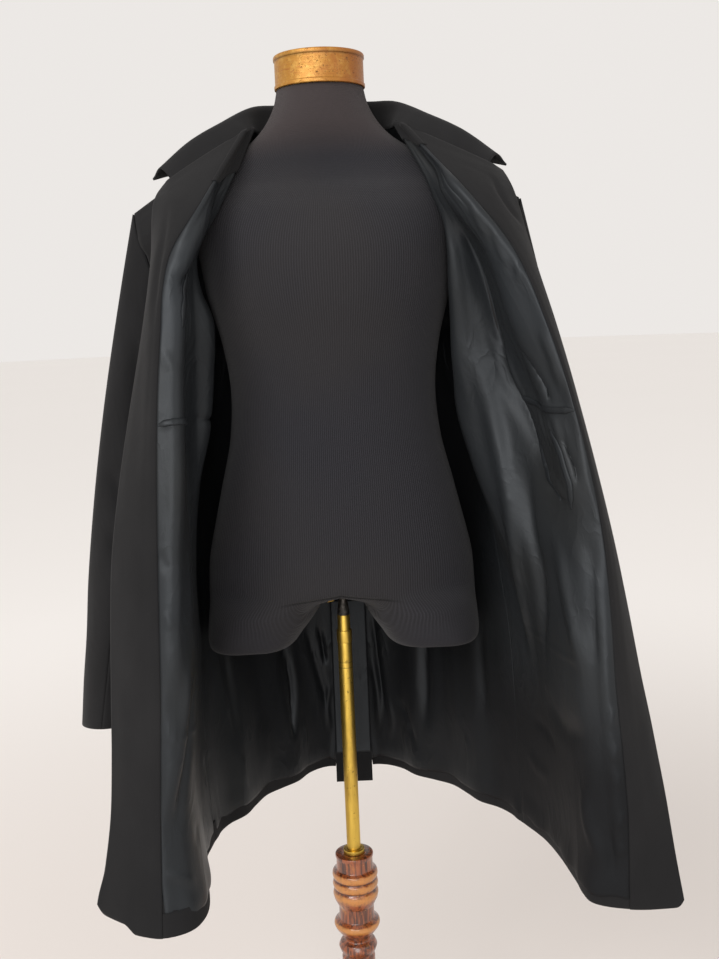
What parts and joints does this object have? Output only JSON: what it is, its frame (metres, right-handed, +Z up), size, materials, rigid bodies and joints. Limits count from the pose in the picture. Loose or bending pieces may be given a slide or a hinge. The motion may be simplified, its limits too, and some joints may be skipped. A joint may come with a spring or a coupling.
{
  "type": "coat on a dress form",
  "caption": "Dark knee-length wool coat with a satin lining, held open on a jersey-covered dress form with a brass and turned-wood pole stand.",
  "frame": {"origin": "on the floor, at the middle of the round base's underside, on the pole's axis", "axes": "+Z up along the pole; -Y is the open front of the coat, +X the viewer's right when facing it"},
  "size_m": [0.7191, 0.483, 1.51],
  "materials": {
    "wool_cloth": "matt dense wool",
    "satin_lining": "soft satin",
    "jersey_cover": "ribbed stretch jersey",
    "gilt_cap": "worn gilt paint",
    "aged_brass": "aged satin",
    "dark_iron": "dark",
    "varnished_wood": "reddish varnish, worn at the edges"
  },
  "bodies": {
    "stand": {"base": "varnished_wood", "column": "varnished_wood", "lower_tube": "aged_brass", "clamp_ring": "aged_brass", "ferrule": "aged_brass"},
    "form": {"back_left": "wool_cloth", "back_right": "wool_cloth", "collar": "wool_cloth", "dress_form": "jersey_cover", "facing_left": "wool_cloth", "facing_right": "wool_cloth", "front_left": "wool_cloth", "front_right": "wool_cloth", "lining_back_left": "satin_lining", "lining_back_right": "satin_lining", "lining_front_left": "satin_lining", "lining_front_right": "satin_lining", "neck_cap": "gilt_cap", "socket": "dark_iron", "top_sleeve_left": "wool_cloth", "top_sleeve_right": "wool_cloth", "under_sleeve_left": "wool_cloth", "under_sleeve_right": "wool_cloth", "upper_tube": "aged_brass", "vent_underlap": "wool_cloth"}
  },
  "joints": [
    {"name": "pole_slide", "type": "slide", "parent": "stand", "child": "form", "axis": [0, 0, 1], "range_m": [-0.045, 0.15]}
  ]
}
